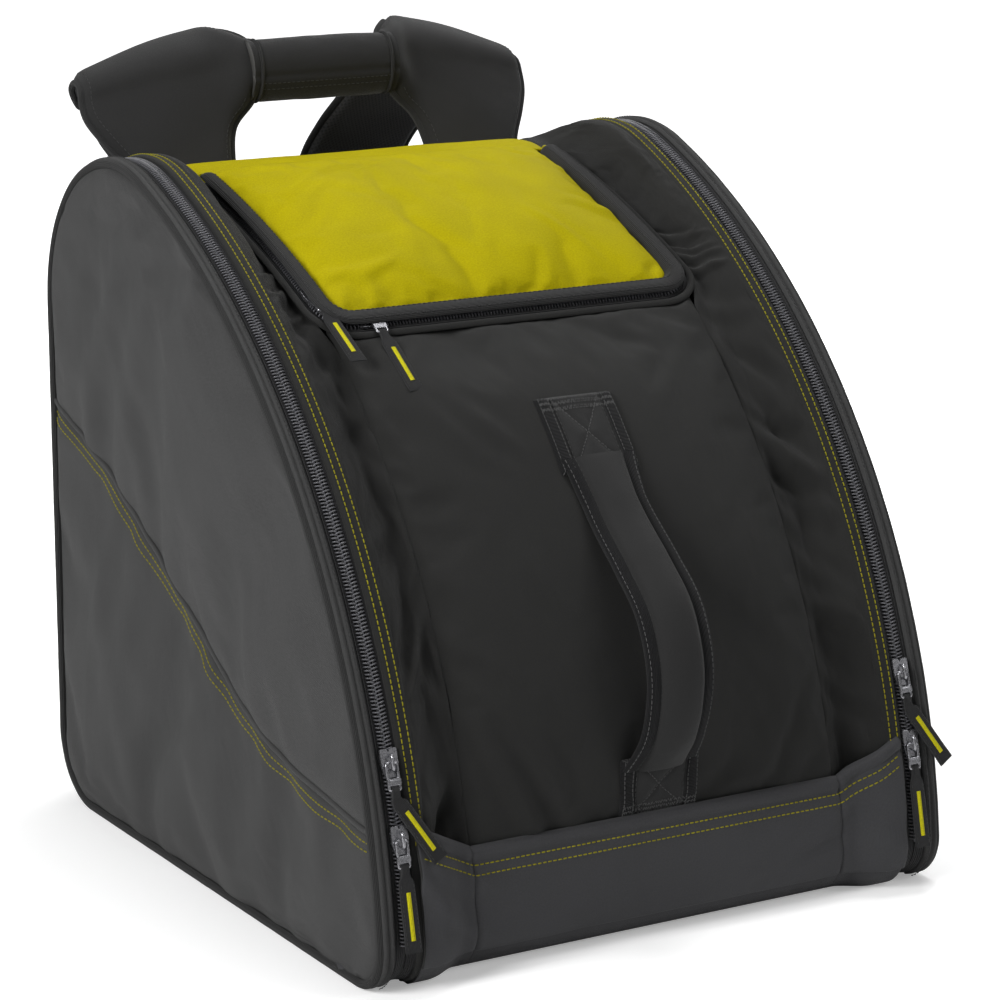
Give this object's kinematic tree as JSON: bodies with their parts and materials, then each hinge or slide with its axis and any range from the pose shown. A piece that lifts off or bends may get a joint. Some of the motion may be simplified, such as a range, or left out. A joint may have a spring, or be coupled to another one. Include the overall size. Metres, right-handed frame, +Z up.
{
  "type": "ski boot backpack",
  "caption": "Soft backpack with two zipped side pockets for ski boots, a zipped top lid over a centre compartment, a front carry handle and a padded fold-over shoulder harness.",
  "frame": {"origin": "on the floor, below the middle of the bag's body, at the flat underside of the base", "axes": "+Z up, +Y towards the wearer's back panel and straps, -Y towards the front carry handle, +X towards the right boot pocket seen from the front"},
  "size_m": [0.3868, 0.5203, 0.487],
  "materials": {
    "shell_fabric": "woven ripstop",
    "base_fabric": "woven, heavier denier",
    "lid_fabric": "woven, coated",
    "harness_fabric": "padded stretch fabric",
    "strap_fabric": "padded, spacer mesh inside",
    "lining_fabric": "plain weave",
    "foam": "closed-cell foam",
    "board": "sheet",
    "coil": "moulded coil on woven tape",
    "piping": "corded piping",
    "metal": "black gunmetal",
    "pull_fabric": "ribbon with a stripe",
    "webbing": "woven webbing",
    "buckle": "moulded"
  },
  "bodies": {
    "bag": {"base_tray": "base_fabric", "base_board": "board", "back_panel": "shell_fabric", "back_foam": "foam", "back_board": "board", "back_lining": "lining_fabric", "front_panel": "shell_fabric", "left_gusset": "shell_fabric", "right_gusset": "shell_fabric", "left_divider": "lining_fabric", "right_divider": "lining_fabric", "rear_top_panel": "lid_fabric", "handle_patches": "harness_fabric", "left_body_zip_half": "coil", "right_body_zip_half": "coil", "lid_zip_body_half": "coil", "lid_zip_end_tabs": "webbing", "strap_anchors": "webbing"},
    "left_door": {"left_side_upper": "shell_fabric", "left_side_lower": "base_fabric", "left_piping": "piping", "left_door_rim": "shell_fabric", "left_door_zip_half": "coil"},
    "right_door": {"right_side_upper": "shell_fabric", "right_side_lower": "base_fabric", "right_piping": "piping", "right_door_rim": "shell_fabric", "right_door_zip_half": "coil"},
    "lid": {"lid_panel": "lid_fabric", "lid_zip_lid_half": "coil"},
    "carry_handle": {"carry_handle": "harness_fabric"},
    "yoke": {"left_yoke_wing": "harness_fabric", "right_yoke_wing": "harness_fabric", "grab_handle": "harness_fabric"},
    "left_strap": {"left_shoulder_pad": "strap_fabric", "left_ladder_lock": "buckle", "left_webbing_tail": "webbing"},
    "left_webbing": {"left_webbing_link": "webbing"},
    "right_strap": {"right_shoulder_pad": "strap_fabric", "right_ladder_lock": "buckle", "right_webbing_tail": "webbing"},
    "right_webbing": {"right_webbing_link": "webbing"},
    "left_upper_slider": {"left_upper_slider": "metal"},
    "left_upper_puller": {"left_upper_puller": "metal"},
    "left_upper_tab": {"left_upper_tab": "pull_fabric"},
    "left_lower_slider": {"left_lower_slider": "metal"},
    "left_lower_puller": {"left_lower_puller": "metal"},
    "left_lower_tab": {"left_lower_tab": "pull_fabric"},
    "right_upper_slider": {"right_upper_slider": "metal"},
    "right_upper_puller": {"right_upper_puller": "metal"},
    "right_upper_tab": {"right_upper_tab": "pull_fabric"},
    "right_lower_slider": {"right_lower_slider": "metal"},
    "right_lower_puller": {"right_lower_puller": "metal"},
    "right_lower_tab": {"right_lower_tab": "pull_fabric"},
    "lid_side_slider": {"lid_side_slider": "metal"},
    "lid_side_puller": {"lid_side_puller": "metal"},
    "lid_side_tab": {"lid_side_tab": "pull_fabric"},
    "lid_front_slider": {"lid_front_slider": "metal"},
    "lid_front_puller": {"lid_front_puller": "metal"},
    "lid_front_tab": {"lid_front_tab": "pull_fabric"}
  },
  "joints": [
    {"name": "left_door_open", "type": "hinge", "parent": "bag", "child": "left_door", "pos_m": [-0.1875, 0, 0.0025], "axis": [0, -1, 0], "range_deg": [0, 90]},
    {"name": "right_door_open", "type": "hinge", "parent": "bag", "child": "right_door", "pos_m": [0.1875, 0, 0.0025], "axis": [0, 1, 0], "range_deg": [0, 90]},
    {"name": "lid_open", "type": "hinge", "parent": "bag", "child": "lid", "pos_m": [0, 0.12075, 0.40264], "axis": [-1, 0, 0], "range_deg": [0, 110]},
    {"name": "carry_handle_flop", "type": "hinge", "parent": "bag", "child": "carry_handle", "pos_m": [0, -0.16911, 0.17912], "axis": [0, 0.4301, 0.9028], "range_deg": [-10, 10], "stiffness_Nm_per_rad": 0.3},
    {"name": "yoke_fold", "type": "hinge", "parent": "bag", "child": "yoke", "pos_m": [0, 0.181, 0.393], "axis": [-1, 0, 0], "range_deg": [-10, 42]},
    {"name": "left_strap_fold", "type": "hinge", "parent": "yoke", "child": "left_strap", "pos_m": [-0.11, 0.216, 0.472], "axis": [-1, 0, 0], "range_deg": [-42.5, 10.5]},
    {"name": "left_webbing_swing", "type": "hinge", "parent": "bag", "child": "left_webbing", "pos_m": [-0.118, 0.212, 0.046], "axis": [-1, 0, 0], "range_deg": [-10.5, 42.5]},
    {"name": "right_strap_fold", "type": "hinge", "parent": "yoke", "child": "right_strap", "pos_m": [0.11, 0.216, 0.472], "axis": [-1, 0, 0], "range_deg": [-42.5, 10.5]},
    {"name": "right_webbing_swing", "type": "hinge", "parent": "bag", "child": "right_webbing", "pos_m": [0.118, 0.212, 0.046], "axis": [-1, 0, 0], "range_deg": [-10.5, 42.5]},
    {"name": "left_upper_slide", "type": "hinge", "parent": "bag", "child": "left_upper_slider", "pos_m": [-0.172, 0.232, -0.012], "axis": [-1, 0, 0], "range_deg": [0, 49]},
    {"name": "left_upper_puller_swing", "type": "hinge", "parent": "left_upper_slider", "child": "left_upper_puller", "pos_m": [-0.172, -0.20457, 0.12901], "axis": [-1, 0, 0], "range_deg": [0, 120]},
    {"name": "left_upper_tab_swing", "type": "hinge", "parent": "left_upper_puller", "child": "left_upper_tab", "pos_m": [-0.172, -0.20918, 0.11474], "axis": [-1, 0, 0], "range_deg": [0, 50]},
    {"name": "left_lower_slide", "type": "hinge", "parent": "bag", "child": "left_lower_slider", "pos_m": [-0.172, 0.232, -0.012], "axis": [1, 0, 0], "range_deg": [0, 2.8]},
    {"name": "left_lower_puller_swing", "type": "hinge", "parent": "left_lower_slider", "child": "left_lower_puller", "pos_m": [-0.172, -0.21573, 0.08808], "axis": [-1, 0, 0], "range_deg": [0, 95]},
    {"name": "left_lower_tab_swing", "type": "hinge", "parent": "left_lower_puller", "child": "left_lower_tab", "pos_m": [-0.172, -0.219, 0.07344], "axis": [-1, 0, 0], "range_deg": [0, 60]},
    {"name": "right_upper_slide", "type": "hinge", "parent": "bag", "child": "right_upper_slider", "pos_m": [0.172, 0.232, -0.012], "axis": [-1, 0, 0], "range_deg": [0, 49]},
    {"name": "right_upper_puller_swing", "type": "hinge", "parent": "right_upper_slider", "child": "right_upper_puller", "pos_m": [0.172, -0.20457, 0.12901], "axis": [-1, 0, 0], "range_deg": [0, 120]},
    {"name": "right_upper_tab_swing", "type": "hinge", "parent": "right_upper_puller", "child": "right_upper_tab", "pos_m": [0.172, -0.20918, 0.11474], "axis": [-1, 0, 0], "range_deg": [0, 50]},
    {"name": "right_lower_slide", "type": "hinge", "parent": "bag", "child": "right_lower_slider", "pos_m": [0.172, 0.232, -0.012], "axis": [1, 0, 0], "range_deg": [0, 2.8]},
    {"name": "right_lower_puller_swing", "type": "hinge", "parent": "right_lower_slider", "child": "right_lower_puller", "pos_m": [0.172, -0.21573, 0.08808], "axis": [-1, 0, 0], "range_deg": [0, 95]},
    {"name": "right_lower_tab_swing", "type": "hinge", "parent": "right_lower_puller", "child": "right_lower_tab", "pos_m": [0.172, -0.219, 0.07344], "axis": [-1, 0, 0], "range_deg": [0, 60]},
    {"name": "lid_side_slide", "type": "hinge", "parent": "bag", "child": "lid_side_slider", "pos_m": [-0.1215, 0.311, -0.344], "axis": [-1, 0, 0], "range_deg": [0, 9.4]},
    {"name": "lid_side_puller_swing", "type": "hinge", "parent": "lid_side_slider", "child": "lid_side_puller", "pos_m": [-0.1215, -0.02378, 0.35286], "axis": [-1, 0, 0], "range_deg": [0, 80]},
    {"name": "lid_side_tab_swing", "type": "hinge", "parent": "lid_side_puller", "child": "lid_side_tab", "pos_m": [-0.1215, -0.0373, 0.34636], "axis": [-1, 0, 0], "range_deg": [0, 50]},
    {"name": "lid_front_slide", "type": "slide", "parent": "bag", "child": "lid_front_slider", "axis": [1, 0, 0], "range_m": [0, 0.192]},
    {"name": "lid_front_puller_swing", "type": "hinge", "parent": "lid_front_slider", "child": "lid_front_puller", "pos_m": [-0.0922, -0.04553, 0.34068], "axis": [0, -0.6184, 0.7859], "range_deg": [0, 80]},
    {"name": "lid_front_tab_swing", "type": "hinge", "parent": "lid_front_puller", "child": "lid_front_tab", "pos_m": [-0.0927, -0.05433, 0.33375], "axis": [-1, 0, 0], "range_deg": [0, 60]}
  ],
  "couplings": [
    {"joint": "left_strap_fold", "follows": "yoke_fold", "ratio": -1},
    {"joint": "left_webbing_swing", "follows": "yoke_fold", "ratio": 1},
    {"joint": "right_strap_fold", "follows": "yoke_fold", "ratio": -1},
    {"joint": "right_webbing_swing", "follows": "yoke_fold", "ratio": 1}
  ]
}
